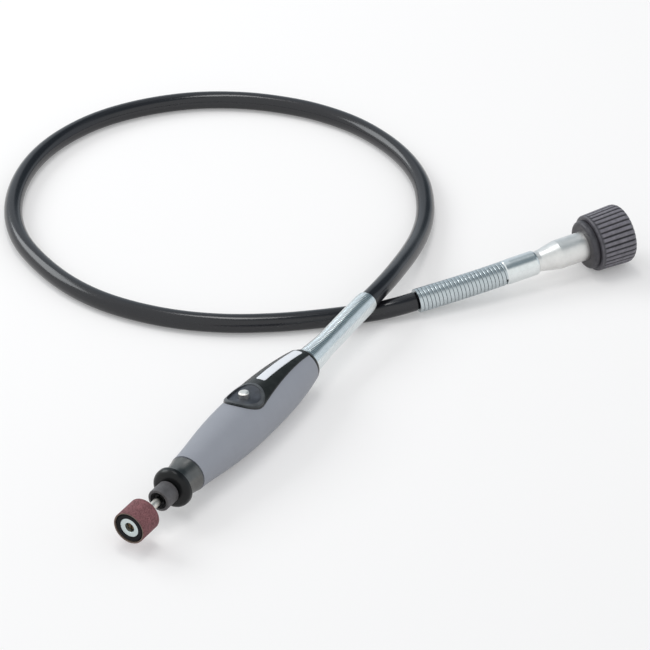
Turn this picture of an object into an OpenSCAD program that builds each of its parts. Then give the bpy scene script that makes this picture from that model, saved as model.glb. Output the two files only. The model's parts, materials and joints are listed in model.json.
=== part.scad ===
// Flexible shaft for a rotary tool: handpiece with a sanding drum, cable and driver coupling.
// Millimetres, +Z up. The handpiece lies along X with its drum towards -X, and z = 0 is the surface
// it lies on. Stations along the handpiece are X values, counted forward from the tail.

/* [Sanding drum] */
// Outside diameter of the abrasive band
band_d = 13.8; // [12:0.1:15]
// Length of the abrasive band
band_len = 11; // [10:0.1:16]
// Wall of the abrasive band
band_wall = 0.6; // [0.4:0.1:1]
// Outside diameter of the front clamping washer
washer_d = 8.4; // [7:0.1:9]
// Thickness of the clamping washer
washer_t = 0.8; // [0.5:0.1:1.2]
// Inside diameter of the washer's cup, where the screw head sits
cup_d = 4; // [3.6:0.1:4.6]
// Depth of the washer's cup
cup_depth = 3; // [2.5:0.1:4]
// Depth of the clamping washer's face behind the band's front edge
washer_inset = 0.4; // [0.2:0.1:0.8]
// Diameter of the tool shank
shank_d = 3.17; // [2.8:0.01:3.2]
// Bare shank between the drum's back plate and the collet nut
shank_bare = 8.9; // [4:0.1:12]
// Length of shank held inside the collet and spindle
shank_held = 19.2; // [15:0.1:22]
// Thickness of the mandrel's back plate
plate_t = 0.9; // [0.6:0.1:1.5]

/* [Collet and nut] */
// Outside diameter of the collet nut
nut_d = 9.6; // [9:0.1:12]
// Length of the collet nut
nut_len = 7.5; // [6.5:0.1:10]
// Diameter of the nut's front opening
nut_mouth_d = 6.2; // [5.6:0.1:6.6]
// Running gap between the collet nut and the nose cap
nut_gap = 0.3; // [0.2:0.1:1]
// Outside diameter of the collet's tail
collet_d = 4.5; // [4.3:0.1:4.8]
// Length of the collet
collet_len = 12; // [10:0.1:14]
// Diameter of the spindle nose, which carries the nut's thread
nose_thread_d = 5.9; // [5.7:0.1:5.9]

/* [Handpiece] */
// Largest diameter of the grip
grip_d = 22.4; // [20:0.1:26]
// Length of the grip sleeve
grip_len = 87.6; // [84:0.1:100]
// Distance from the front of the grip to its thickest place
grip_peak = 43; // [36:0.1:48]
// Diameter of the grip at its rear edge
grip_rear_d = 15.8; // [15.4:0.1:18]
// Depth of the grip's front lip over the housing
grip_lip = 0.75; // [0.5:0.05:1.5]
// Wall of the housing tube over the bearings
housing_wall = 1.2; // [1:0.1:1.4]
// Length of the nose cap in front of the grip
nose_len = 13.4; // [12:0.1:16]
// Diameter of the nose cap's flange
flange_d = 17; // [16:0.1:20]
// Width of the flange's straight rim
flange_w = 1.2; // [0.8:0.1:2]
// Radius of the flange's rounded front
flange_round = 2.6; // [2:0.1:3]
// Diameter of the neck behind the flange
neck_d = 13; // [12.4:0.1:14]
// Length of the flare that runs from the neck up to the grip
neck_flare = 5; // [4:0.1:6]
// Length of the tail ring behind the grip
ring_len = 2.4; // [2:0.1:4]
// Diameter of the tail ring at its rear face
ring_d = 14; // [13.4:0.1:15.2]

/* [Top cover] */
// Radius of the cover's round front end
cover_r = 8.5; // [7.6:0.1:9]
// Width of the cover where it meets the tail ring
cover_tail_w = 8.4; // [5:0.1:9]
// Angle that the cover, dish and button are turned round the handpiece from upright
cover_roll = 6; // [0:1:10]
// Height of the cover above the grip
cover_lift = 0.5; // [0.3:0.1:1]
// Depth of the cover's seat in the grip
cover_sink = 0.8; // [0.5:0.1:1.2]
// Distance from the front of the grip to the middle of the thumb dish
dish_at = 44.3; // [42:0.1:48]
// Radius of the thumb dish
dish_r = 7; // [5.5:0.1:7.2]
// Depth of the thumb dish below its rim
dish_depth = 1.9; // [1.5:0.1:2.2]
// Height of the dish's rim above the grip
rim_h = 0.9; // [0.6:0.1:1.4]

/* [Lock button] */
// Diameter of the lock button
button_d = 4.4; // [3.6:0.1:5]
// Height of the button above the bottom of the dish
button_h = 2.5; // [2.2:0.1:3.2]
// Travel of the lock button
button_travel = 1.6; // [1:0.1:1.8]
// Diameter of the lock pin under the button
pin_d = 2.8; // [2.2:0.1:3]
// Wire of the button's return spring
return_wire = 0.3; // [0.2:0.05:0.3]

/* [Spindle and bearings] */
// Bore of the ball bearings
bearing_bore = 6; // [6:0.1:6.3]
// Outside diameter of the ball bearings
bearing_d = 12; // [11.8:0.1:12.6]
// Width of the ball bearings
bearing_w = 4; // [3.5:0.1:5]
// Wall of each bearing race
race_wall = 0.8; // [0.6:0.05:0.9]
// Number of balls in each bearing
ball_count = 8; // [6:1:9]
// Distance between the two bearings
bearing_span = 46; // [44:0.1:50]
// Diameter of the spindle between the bearings
spindle_d = 7.2; // [6.8:0.1:8]
// Diameter of the spindle's lock collar
lock_collar_d = 9.2; // [8.6:0.1:9.4]
// Length of the spindle's lock collar
lock_collar_len = 8; // [6:0.1:10]
// Length of spindle behind the rear bearing, which takes the core's square end
socket_len = 6; // [4:0.1:8]
// Width of the core's square end in the spindle
square_w = 3.2; // [2.6:0.1:3.4]

/* [Cable] */
// Outside diameter of the rubber jacket
cable_d = 8.2; // [7.4:0.1:8.6]
// Outside diameter of the steel casing inside the springs
casing_d = 6.6; // [6:0.1:6.7]
// Diameter of the flexible core
core_d = 3.2; // [2.6:0.1:3.4]
// Outside diameter of the handpiece spring at its free end
hand_spring_d = 10; // [9.8:0.1:11]
// Outside diameter of the handpiece spring where it meets the tail ring
hand_spring_base_d = 12.2; // [11.6:0.1:12.8]
// Wire of the handpiece spring
hand_wire = 0.75; // [0.6:0.05:0.75]
// Number of curls in the handpiece spring
hand_curls = 42; // [36:1:42]
// Outside diameter of the driver spring
driver_spring_d = 10.6; // [10.5:0.1:11.2]
// Wire of the driver spring
driver_wire = 1.45; // [1.2:0.05:1.45]
// Number of curls in the driver spring
driver_curls = 21; // [18:1:21]

/* [Driver end] */
// Diameter of the crimped sleeve behind the driver spring
sleeve_d = 11; // [10.6:0.1:12]
// Length of the crimped sleeve
sleeve_len = 16; // [13:0.1:18]
// Diameter of the end fitting's barrel
barrel_d = 12.9; // [12:0.1:14]
// Length of the barrel between its cone and the coupling nut
barrel_len = 13.4; // [12:0.1:18]
// Length of the end fitting's cone
cone_len = 8.8; // [7:0.1:12]
// Diameter of the end fitting's neck between the sleeve and the cone
fitting_neck_d = 9.3; // [8.6:0.1:10]
// Length of the end fitting's neck
fitting_neck_len = 1.7; // [0.8:0.1:2.4]
// Diameter of the end fitting's flange inside the coupling nut
fitting_flange_d = 16.4; // [15:0.1:17]
// Outside diameter of the coupling nut over its ribs, at the front
coupling_d = 26.4; // [24.6:0.1:30]
// Outside diameter of the coupling nut over its ribs, at the rear
coupling_rear_d = 25.2; // [24:0.1:26.4]
// Diameter of the coupling nut's smooth collar
coupling_collar_d = 21.6; // [20:0.1:23]
// Length of the coupling nut's smooth collar
coupling_collar_len = 3.2; // [2.5:0.1:5]
// Length of the coupling nut's ribbed part
coupling_rib_len = 17.6; // [14:0.1:20]
// Number of ribs on the coupling nut
coupling_ribs = 34; // [24:1:40]
// Depth of the grooves between the ribs
rib_depth = 0.6; // [0.3:0.05:0.8]
// Thread diameter of the coupling nut
thread_d = 19.05; // [18:0.05:19.4]
// Length of the coupling nut's thread
thread_len = 8.2; // [6:0.1:9]
// Length of the core's square tip in front of the end fitting
tip_out = 3.6; // [2:0.1:3.8]

/* [Hidden] */
$fn = 64;

// Clearances: a free running fit, a sliding fit, and a gap that nothing bridges.
run = 0.05;
free = 0.3;
eps = 0.01;

// ---- Stations along the handpiece, from its tail forward.
tail_x = 66;
axis_z = grip_d / 2;
grip_rear_x = tail_x - ring_len;
grip_front_x = grip_rear_x - grip_len;
nose_front_x = grip_front_x - nose_len;
nut_rear_x = nose_front_x - nut_gap;
nut_front_x = nut_rear_x - nut_len;
plate_x = nut_front_x - shank_bare - plate_t;
band_front_x = plate_x - band_len;
dish_x = grip_front_x + dish_at;

// ---- Bearings and what they seat in.
spigot_len = 4;
front_bearing_x = grip_front_x + spigot_len;
front_shoulder_x = front_bearing_x + bearing_w;
rear_bearing_x = front_shoulder_x + bearing_span;
rear_race_x = rear_bearing_x + bearing_w;
washer_gap = 0.4;
socket_front_x = rear_race_x + washer_gap;
spindle_rear_x = rear_race_x + socket_len;
housing_d = bearing_d + 2 * housing_wall;
housing_bore_d = bearing_d - 2 * race_wall;
journal_r = bearing_bore / 2;
pitch_r = (bearing_bore + bearing_d) / 4;
ball_r = (bearing_d - bearing_bore) / 4 - race_wall + 0.1;
race_groove_r = ball_r + 0.03;
cage_half_t = 0.3;
cage_w = 2 * ball_r + 1;
pocket_r = ball_r + 0.08;

// ---- Grip outline: two curves that meet at its thickest place.
grip_front_r = housing_d / 2 + grip_lip;
grip_peak_x = grip_front_x + grip_peak;
grip_steps = 10;

// ---- Lock button stack, as heights above the spindle's axis.
rim_top = grip_d / 2 + rim_h;
dish_floor = rim_top - dish_depth;
plug_bottom = dish_floor - 0.8;
button_flange_t = 0.6;
button_flange_r = button_d / 2 + 0.7;
spring_seat = plug_bottom - button_flange_t - 2.5;
pin_tip = lock_collar_d / 2 + free;
button_top = dish_floor + button_h;
dish_sweep_r = 16;
dish_saddle_r = 18;
plug_r = cover_r - 0.2;
plug_foot = min(plug_bottom - 0.4, max(housing_d / 2 + 0.4,
                sqrt(pow(grip_d / 2 + cover_lift, 2) - pow(plug_r, 2)) - 0.1));
well_r = button_flange_r + 0.15;
return_turns = 2;

// ---- Sanding drum.
shank_r = shank_d / 2;
shank_rear_x = nut_front_x + shank_held;
stem_r = 2;
cup_floor_t = 0.7;
cup_wall = 0.7;
washer_x = band_front_x + washer_inset;
cup_floor_x = washer_x + cup_depth;
stem_front_x = cup_floor_x + cup_floor_t;
screw_r = 1;
screw_head_h = 1.3;
screw_len = 6;

// ---- Collet and nut.
collet_front_x = nut_front_x + 1;
collet_cone_len = 1.6;
collet_head_r = nose_thread_d / 2 - 0.1;
collet_rear_x = collet_front_x + collet_len;
nut_seat_x = collet_front_x + collet_cone_len;
spindle_nose_x = nut_seat_x + 0.9;

// ---- Casing and core at the handpiece.
casing_r = casing_d / 2;
core_r = core_d / 2;
casing_held = 12;
casing_start_x = tail_x - casing_held;
core_stop_gap = 0.6;

// ---- Cord route, chosen by hand: start of the handpiece spring to its free end, the loop on the
// surface, and the driver spring from its free end to the crimped sleeve.
hand_path = [[tail_x, 0, 11.2], [84, 0, 11.2], [101, 0, 13.2], [118, 0.4, 13.3]];
loop_route = [[118, 0.4, 13.3], [127, 0.6, 13.3], [141, 2.4, 12], [155, 5.2, 10], [170, 8.6, 7.8],
              [186, 13.2, 5.6], [201, 18.8, 4.4], [215, 26, 4.1], [230, 36.5, 4.1], [243, 50.5, 4.1],
              [253, 67, 4.1], [260, 86, 4.1], [262.5, 105, 4.1], [261, 124, 4.1], [254.5, 146, 4.1],
              [242, 167, 4.1], [224, 184, 4.1], [203, 195.5, 4.1], [180, 200.5, 4.1], [157, 199.5, 4.1],
              [134, 192.5, 4.1], [113, 180.5, 4.1], [96, 164, 4.1], [83.5, 143, 4.1], [75.5, 121, 4.1],
              [73, 99, 4.1], [76, 75, 4.1], [84, 53, 4.1], [96, 33.5, 4.1], [110, 16.5, 4.1],
              [124, 2, 4.2], [131.6, -5.9, 5.2], [139, -11.9, 6.1]];
driver_path = [[139, -11.9, 6.1], [150, -20.3, 7.2], [161.2, -28.2, 8.3], [172.9, -35.8, 9.4]];
driver_heading = -33;
driver_slope = 4.5;
loop_steps = 2;
cord_sides = 12;
hand_taper = 0.3;

// ---- Stations along the driver end, from the end of the driver spring.
casing_in_sleeve = 12;
cone_x = sleeve_len + fitting_neck_len;
barrel_x = cone_x + cone_len;
coupling_x = barrel_x + barrel_len;
coupling_wall = 4;
fitting_flange_t = 2.4;
fitting_flange_x = coupling_x + coupling_wall + free;
fitting_front_x = fitting_flange_x + fitting_flange_t;
rib_x = coupling_x + coupling_collar_len;
coupling_front_x = rib_x + coupling_rib_len;
bush_len = 12;
bush_wall = 1.2;
core_tip_x = 14;
tip_square_w = 2.7;
thread_edge = 0.4;
relief_r = thread_d / 2 + 0.35;
thread_rear_x = coupling_front_x - thread_edge - thread_len;

// ---- Curves and paths.
function lerp(a, b, u) = a * (1 - u) + b * u;
function bezier(p, u) = p[0] * pow(1 - u, 3) + p[1] * 3 * u * pow(1 - u, 2)
                        + p[2] * 3 * u * u * (1 - u) + p[3] * pow(u, 3);
function unit(v) = v / norm(v);
function arc(x, r, radius, a0, a1, n) =
    [for (i = [0:n]) let (a = lerp(a0, a1, i / n)) [x + radius * cos(a), r + radius * sin(a)]];
function smooth(p, i, u) =
    let (a = p[max(i - 1, 0)], b = p[i], c = p[i + 1], d = p[min(i + 2, len(p) - 1)])
    0.5 * (2 * b + (c - a) * u + (2 * a - 5 * b + 4 * c - d) * u * u + (3 * b - a - 3 * c + d) * pow(u, 3));
function refine(p, steps) =
    concat([for (i = [0:len(p) - 2], k = [0:steps - 1]) smooth(p, i, k / steps)], [p[len(p) - 1]]);
function heading(p, i) = unit(p[min(i + 1, len(p) - 1)] - p[max(i - 1, 0)]);
function side(t) = unit(cross([0, 0, 1], t));

// One closed tube through the points of a path, as triangles.
module swept(path, radius, sides) {
    rings = [for (i = [0:len(path) - 1])
             let (t = heading(path, i), b = side(t), n = cross(t, b))
             for (k = [0:sides - 1])
             let (a = 360 * k / sides)
             path[i] + radius * (cos(a) * b + sin(a) * n)];
    closed_tube(rings, len(path), sides);
}

// The faces of a tube whose rings of points follow one another.
module closed_tube(points, count, sides) {
    last = (count - 1) * sides;
    walls = [for (i = [0:count - 2], k = [0:sides - 1])
             let (a = i * sides + k, b = i * sides + (k + 1) % sides)
             for (f = [[a, b, b + sides], [a, b + sides, a + sides]]) f];
    first_cap = [for (k = [1:sides - 2]) [0, k + 1, k]];
    last_cap = [for (k = [1:sides - 2]) [last, last + k, last + k + 1]];
    polyhedron(points, concat(walls, first_cap, last_cap), convexity = 10);
}

// Points of a coil's centre line round a curved path: [path, coil radii at both ends, taper, curls].
curl_rings = 8;
function coil_radius(r0, r1, taper, u) = lerp(r0, r1, min(u / taper, 1));
function coil_point(path, r0, r1, taper, inset, turns, i) =
    let (u = lerp(inset, 1 - inset, i / (turns * curl_rings)), a = 360 * i / curl_rings,
         t = unit(bezier(path, min(u + 0.01, 1)) - bezier(path, max(u - 0.01, 0))), b = side(t))
    bezier(path, u) + coil_radius(r0, r1, taper, u) * (cos(a) * cross(t, b) + sin(a) * b);
function coil_line(path, r0, r1, taper, inset, turns) =
    [for (i = [0:turns * curl_rings]) coil_point(path, r0, r1, taper, inset, turns, i)];

// The least gap between one curl of a coil and the next.
function coil_gap(line, wire) =
    min([for (i = [0:len(line) - 1 - curl_rings], k = [-1:1])
         if (i + curl_rings + k < len(line)) norm(line[i + curl_rings + k] - line[i])]) - wire;

// One unbroken wire along a coil's centre line.
wire_sides = 6;
module wound(path, line, wire) {
    points = [for (i = [0:len(line) - 1])
              let (t = heading(line, i), away = unit(line[i] - nearest(path, line[i])),
                   out = unit(cross(cross(t, away), t)), up = cross(t, out))
              for (k = [0:wire_sides - 1])
              let (a = 360 * k / wire_sides)
              line[i] + wire / 2 * (cos(a) * out + sin(a) * up)];
    closed_tube(points, len(line), wire_sides);
}
function nearest(path, p) =
    let (d = path[3] - path[0], u = max(0, min(1, (p - path[0]) * d / (d * d)))) bezier(path, u);

// Turned about the X axis: points are [x, radius].
module turned(points) {
    rotate([0, 90, 0]) rotate_extrude() polygon([for (p = points) [p[1], p[0]]]);
}
module disc_x(x0, x1, d) {
    translate([x0, 0, 0]) rotate([0, 90, 0]) cylinder(h = x1 - x0, d = d);
}
module tube_x(x0, x1, outer_d, bore_d) {
    difference() {
        disc_x(x0, x1, outer_d);
        disc_x(x0 - 1, x1 + 1, bore_d);
    }
}
module on_axis() {
    translate([0, 0, axis_z]) children();
}
module rolled() {
    rotate([-cover_roll, 0, 0]) children();
}
module at_dish() {
    rolled() translate([dish_x, 0, 0]) children();
}
module at_driver() {
    translate(driver_path[3]) rotate([0, -driver_slope, driver_heading]) children();
}

// ---- Sanding drum.
module sanding_band() {
    color("#8a3b3f") on_axis() tube_x(band_front_x, plate_x, band_d, band_d - 2 * band_wall);
}
module rubber_drum() {
    r = band_d / 2 - band_wall - run;
    edge = 0.6;
    seat_x = washer_x + washer_t;
    color("#1c1c1e") on_axis()
        turned([[seat_x, cup_d / 2 + cup_wall], [seat_x, washer_d / 2], [band_front_x + 0.15, washer_d / 2],
                [band_front_x + 0.15, r - edge], [band_front_x + 0.15 + edge, r], [plate_x - edge, r],
                [plate_x, r - edge], [plate_x, stem_r], [stem_front_x, stem_r],
                [stem_front_x, cup_d / 2 + cup_wall]]);
}
module drum_washer() {
    r = cup_d / 2;
    color("#d8d8d4") on_axis()
        turned([[washer_x, r + 0.2], [washer_x, washer_d / 2], [washer_x + washer_t, washer_d / 2],
                [washer_x + washer_t, r + cup_wall], [stem_front_x, r + cup_wall],
                [stem_front_x, screw_r + 0.15], [cup_floor_x, screw_r + 0.15], [cup_floor_x, r],
                [washer_x + 0.2, r]]);
}
module drum_screw() {
    head_x = cup_floor_x - screw_head_h;
    slot_w = 0.6;
    slot_depth = 0.5;
    color("#b08d4a") on_axis() difference() {
        union() {
            disc_x(head_x, cup_floor_x, cup_d - 2 * free);
            disc_x(head_x + slot_depth, cup_floor_x + screw_len, 2 * screw_r);
        }
        translate([head_x - 1, -slot_w / 2, -cup_d]) cube([1 + slot_depth, slot_w, 2 * cup_d]);
    }
}
module mandrel() {
    color("#c4c6c8") on_axis() difference() {
        union() {
            disc_x(stem_front_x, plate_x + eps, 2 * stem_r);
            disc_x(plate_x, plate_x + plate_t, washer_d);
            disc_x(plate_x, shank_rear_x, shank_d);
        }
        disc_x(stem_front_x - 1, cup_floor_x + screw_len + free, 2 * (screw_r + run));
    }
}

// ---- Collet and nut.
module collet() {
    slot_w = 0.45;
    slot_rear_x = collet_rear_x - 3;
    bore_r = shank_r + run;
    color("#8f9194") on_axis() difference() {
        turned([[collet_front_x, bore_r], [collet_front_x, collet_d / 2 - 0.1],
                [nut_seat_x, collet_head_r], [nut_seat_x + 0.6, collet_head_r],
                [nut_seat_x + 1.1, collet_d / 2], [collet_rear_x, collet_d / 2], [collet_rear_x, bore_r]]);
        for (a = [0, 90])
            rotate([a, 0, 0]) translate([collet_front_x - 1, -slot_w / 2, -nut_d / 2])
                cube([slot_rear_x - collet_front_x + 1, slot_w, nut_d]);
    }
}
module collet_nut() {
    thread_r = nose_thread_d / 2 + run;
    edge = 0.5;
    cone_gap = 0.08;
    color("#55575b") on_axis()
        turned([[nut_front_x, nut_mouth_d / 2], [nut_front_x, nut_d / 2 - edge],
                [nut_front_x + edge, nut_d / 2], [nut_rear_x - edge, nut_d / 2],
                [nut_rear_x, nut_d / 2 - edge], [nut_rear_x, thread_r],
                [nut_seat_x, thread_r], [collet_front_x, collet_d / 2 - 0.1 + cone_gap]]);
}

// ---- Spindle.
module spindle() {
    bore_r = collet_d / 2 + run;
    seat_x = nut_seat_x + 1.1 + run;
    seat_slope = (collet_head_r - collet_d / 2) / 0.5;
    collar_x = dish_x - lock_collar_len / 2;
    nose_edge = 0.15;
    cut_x = spindle_nose_x - 0.1;
    color("#b9bbbe") on_axis() difference() {
        union() {
            turned([[spindle_nose_x, 0], [spindle_nose_x, nose_thread_d / 2 - nose_edge],
                    [spindle_nose_x + nose_edge, nose_thread_d / 2], [nose_front_x + 1, nose_thread_d / 2],
                    [nose_front_x + 1, journal_r], [front_shoulder_x, journal_r],
                    [front_shoulder_x, spindle_d / 2], [rear_bearing_x, spindle_d / 2],
                    [rear_bearing_x, journal_r], [spindle_rear_x, journal_r], [spindle_rear_x, 0]]);
            disc_x(collar_x, collar_x + lock_collar_len, lock_collar_d);
        }
        disc_x(spindle_nose_x - 1, collet_rear_x + free, 2 * bore_r);
        turned([[cut_x, 0], [cut_x, bore_r + seat_slope * (seat_x - cut_x)], [seat_x, bore_r], [seat_x, 0]]);
        disc_x(collet_rear_x, shank_rear_x + 2, shank_d + 4 * run);
        at_dish() translate([0, 0, -lock_collar_d]) cylinder(h = 2 * lock_collar_d, d = pin_d + 2 * 0.2);
        translate([rear_race_x - 1, -square_w / 2 - run, -square_w / 2 - run])
            cube([socket_len + 2, square_w + 2 * run, square_w + 2 * run]);
    }
}

// ---- Ball bearings: each is placed by its front face.
module race(x, outer_d, bore_d) {
    difference() {
        tube_x(x, x + bearing_w, outer_d, bore_d);
        translate([x + bearing_w / 2, 0, 0]) rotate([0, 90, 0])
            rotate_extrude() translate([pitch_r, 0]) circle(r = race_groove_r);
    }
}
module outer_race(x) {
    color("#a8aaad") on_axis() race(x, bearing_d, bearing_d - 2 * race_wall);
}
module inner_race(x) {
    color("#a8aaad") on_axis() race(x, bearing_bore + 2 * race_wall, bearing_bore);
}
module ball_ring(x, r) {
    translate([x + bearing_w / 2, 0, 0])
        for (i = [0:ball_count - 1])
            rotate([360 * i / ball_count, 0, 0]) translate([0, 0, pitch_r]) sphere(r = r);
}
module balls(x) {
    color("#e0e1e3") on_axis() ball_ring(x, ball_r);
}
module cage(x) {
    mid = x + bearing_w / 2;
    color("#9a7b3f") on_axis() difference() {
        tube_x(mid - cage_w / 2, mid + cage_w / 2, 2 * (pitch_r + cage_half_t), 2 * (pitch_r - cage_half_t));
        ball_ring(x, pocket_r);
    }
}
module preload_washer() {
    color("#a8aaad") on_axis() tube_x(rear_race_x, socket_front_x, bearing_d, housing_bore_d);
}

// ---- Nose cap: rounded flange and a neck that flares up to the grip, with a spigot that holds the
// front bearing.
module nose_cap() {
    flange_r = flange_d / 2;
    neck_r = neck_d / 2;
    rear_r = grip_front_r - 0.15;
    bore_r = journal_r + 0.8;
    rim_x = nose_front_x + flange_round;
    rim_rear_x = rim_x + flange_w;
    line_w = 0.5;
    line_x = grip_front_x - line_w;
    flare_x = grip_front_x - neck_flare;
    flare = [[flare_x, neck_r], [lerp(flare_x, line_x, 0.5), neck_r],
             [lerp(flare_x, line_x, 0.7), lerp(neck_r, rear_r, 0.75)], [line_x, rear_r]];
    color("#17181a") on_axis()
        turned(concat([[nose_front_x, bore_r]],
                      arc(rim_x, flange_r - flange_round, flange_round, 180, 90, 6),
                      [[rim_rear_x, flange_r], [rim_rear_x + 0.3, flange_r - 0.4],
                       [rim_rear_x + 0.8, neck_r]],
                      [for (i = [0:6]) bezier(flare, i / 6)],
                      [[line_x, rear_r - 0.4], [grip_front_x, rear_r - 0.4],
                       [grip_front_x, bearing_d / 2], [front_bearing_x, bearing_d / 2],
                       [front_bearing_x, housing_bore_d / 2], [grip_front_x - 1, housing_bore_d / 2],
                       [grip_front_x - 1, bore_r]]));
}

// ---- Housing tube, with a seat for the lock button's spring.
module housing() {
    color("#3a3c40") on_axis() difference() {
        disc_x(grip_front_x, grip_rear_x, housing_d);
        disc_x(grip_front_x - 1, grip_rear_x + 1, housing_bore_d);
        disc_x(grip_front_x - 1, front_shoulder_x, bearing_d);
        disc_x(rear_bearing_x, grip_rear_x + 1, bearing_d);
        at_dish() cylinder(h = housing_d, d = pin_d + 2 * run);
        button_well();
    }
}

// ---- Grip sleeve. Its outline is raised or sunk by offset_r for the cover that lies in it.
function grip_outline(offset_r, tail_r) =
    let (front = [[grip_front_x, grip_front_r], [grip_front_x + 10, grip_front_r + 0.25],
                  [grip_front_x + 21, grip_d / 2], [grip_peak_x, grip_d / 2]],
         rear = [[grip_peak_x, grip_d / 2], [grip_peak_x + 17, grip_d / 2],
                 [grip_rear_x - 14, lerp(grip_d / 2, grip_rear_d / 2, 0.2)], [grip_rear_x, tail_r]])
    [for (p = concat([for (i = [0:grip_steps - 1]) bezier(front, i / grip_steps)],
                     [for (i = [0:grip_steps]) bezier(rear, i / grip_steps)])) [p[0], p[1] + offset_r]];
module grip_solid(offset_r, tail_r) {
    turned(concat([[grip_front_x, 0]], grip_outline(offset_r, tail_r), [[grip_rear_x, 0]]));
}
module cover_plan() {
    steps = 8;
    tail = cover_tail_w / 2;
    x0 = dish_x + 1;
    edge = [for (i = [0:steps]) let (u = i / steps)
            [lerp(x0, grip_rear_x + eps, u), lerp(tail, cover_r, pow(1 - u, 1.3))]];
    at_dish() cylinder(h = grip_d, r = cover_r);
    rolled() linear_extrude(grip_d)
        polygon(concat(edge, [for (i = [steps:-1:0]) [edge[i][0], -edge[i][1]]]));
}
module button_well() {
    at_dish() translate([0, 0, spring_seat]) cylinder(h = grip_d, r = well_r);
}
module grip_sleeve() {
    color("#9698a0") on_axis() difference() {
        grip_solid(0, grip_rear_d / 2);
        disc_x(grip_front_x - 1, grip_rear_x + 1, housing_d);
        difference() {
            cover_plan();
            grip_solid(-cover_sink, grip_rear_d / 2);
        }
        at_dish() translate([0, 0, plug_foot]) cylinder(h = grip_d, r = plug_r);
        button_well();
    }
}

// ---- Top cover: a teardrop strip in the grip, with a thumb dish, that runs into the tail ring.
module cover_strip() {
    intersection() {
        cover_plan();
        difference() {
            grip_solid(cover_lift, grip_rear_d / 2 - 0.2);
            grip_solid(-cover_sink, grip_rear_d / 2);
        }
    }
}
module dish_plug() {
    intersection() {
        at_dish() translate([0, 0, plug_foot]) cylinder(h = rim_top, r = plug_r);
        disc_x(0, 2 * tail_x, 2 * rim_top);
    }
}
module dish_hollow() {
    intersection() {
        at_dish() translate([0, 0, plug_foot]) cylinder(h = grip_d, r = dish_r);
        at_dish() translate([0, 0, dish_floor - dish_saddle_r]) rotate([0, 90, 0])
            rotate_extrude() translate([dish_saddle_r + dish_sweep_r, 0]) circle(r = dish_sweep_r);
    }
}
module tail_ring() {
    front_r = grip_rear_d / 2 - 0.1;
    rear_r = ring_d / 2;
    turned([[grip_rear_x, bearing_d / 2], [grip_rear_x, front_r],
            [lerp(grip_rear_x, tail_x, 0.55), front_r - 0.2],
            [lerp(grip_rear_x, tail_x, 0.85), lerp(front_r, rear_r, 0.65)],
            [tail_x, rear_r], [tail_x, bearing_d / 2]]);
}
module top_cover() {
    color("#1a1b1d") on_axis() difference() {
        union() {
            cover_strip();
            dish_plug();
            tail_ring();
        }
        dish_hollow();
        at_dish() cylinder(h = grip_d, d = button_d + 2 * run);
        at_dish() cylinder(h = plug_bottom, r = well_r);
    }
}

// ---- Lock button and its return spring.
module lock_button() {
    edge = 0.4;
    crown = 0.5;
    flange_top = plug_bottom;
    color("#d9dadb") on_axis() at_dish() rotate_extrude()
        polygon([[0, pin_tip], [pin_d / 2 - edge, pin_tip], [pin_d / 2, pin_tip + edge],
                 [pin_d / 2, flange_top - button_flange_t], [button_flange_r, flange_top - button_flange_t],
                 [button_flange_r, flange_top], [button_d / 2, flange_top], [button_d / 2, button_top - crown],
                 [button_d / 2 - 0.15, button_top - 0.45 * crown], [button_d / 2 - crown, button_top - 0.1],
                 [button_d / 2 - 2.2 * crown, button_top], [0, button_top]]);
}
module lock_spring() {
    r = button_flange_r - return_wire / 2;
    z0 = spring_seat + return_wire / 2;
    z1 = plug_bottom - button_flange_t - return_wire / 2;
    steps = return_turns * 12;
    line = [for (i = [0:steps]) let (a = 360 * i / 12) [r * cos(a), r * sin(a), lerp(z0, z1, i / steps)]];
    points = [for (i = [0:steps])
              let (t = heading(line, i), out = unit([line[i][0], line[i][1], 0]), up = cross(t, out))
              for (k = [0:wire_sides - 1])
              let (a = 360 * k / wire_sides)
              line[i] + return_wire / 2 * (cos(a) * out + sin(a) * up)];
    color("#b9bbbe") on_axis() at_dish() closed_tube(points, steps + 1, wire_sides);
}

// ---- Casing socket in the tail, and the core's square end in the spindle.
module casing_socket() {
    color("#8d9094") on_axis() difference() {
        disc_x(socket_front_x, tail_x, bearing_d);
        disc_x(socket_front_x - 1, spindle_rear_x + 1, 2 * (journal_r + race_wall + 0.4));
        disc_x(socket_front_x - 1, tail_x + 1, core_d + 2 * 0.4);
        disc_x(casing_start_x, tail_x + 1, casing_d + 2 * run);
    }
}
module core_end() {
    color("#9b9da0") on_axis() union() {
        translate([rear_race_x - 0.7, -square_w / 2, -square_w / 2])
            cube([socket_len + 0.7, square_w, square_w]);
        disc_x(spindle_rear_x - eps, casing_start_x - core_stop_gap, core_d);
    }
}

// ---- Cable: casing, jacket and springs.
path_steps = 6;
hand_line = [for (i = [0:path_steps]) bezier(hand_path, i / path_steps)];
driver_line = [for (i = [0:path_steps]) bezier(driver_path, i / path_steps)];
driver_dir = [cos(driver_slope) * cos(driver_heading), cos(driver_slope) * sin(driver_heading),
              sin(driver_slope)];
module handpiece_casing() {
    start = [casing_start_x, 0, axis_z];
    color("#7c7f83") swept(concat([start], hand_line), casing_r, cord_sides);
}
module driver_casing() {
    color("#7c7f83") swept(concat(driver_line, [driver_path[3] + casing_in_sleeve * driver_dir]),
                           casing_r, cord_sides);
}
module cable_jacket() {
    color("#232326") swept(refine(loop_route, loop_steps), cable_d / 2, cord_sides);
}
hand_inset = 0.5 * hand_wire / norm(hand_path[3] - hand_path[0]) + 0.0005;
driver_inset = 0.5 * driver_wire / norm(driver_path[3] - driver_path[0]) + 0.0005;
hand_coil = coil_line(hand_path, (hand_spring_base_d - hand_wire) / 2, (hand_spring_d - hand_wire) / 2,
                      hand_taper, hand_inset, hand_curls);
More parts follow.
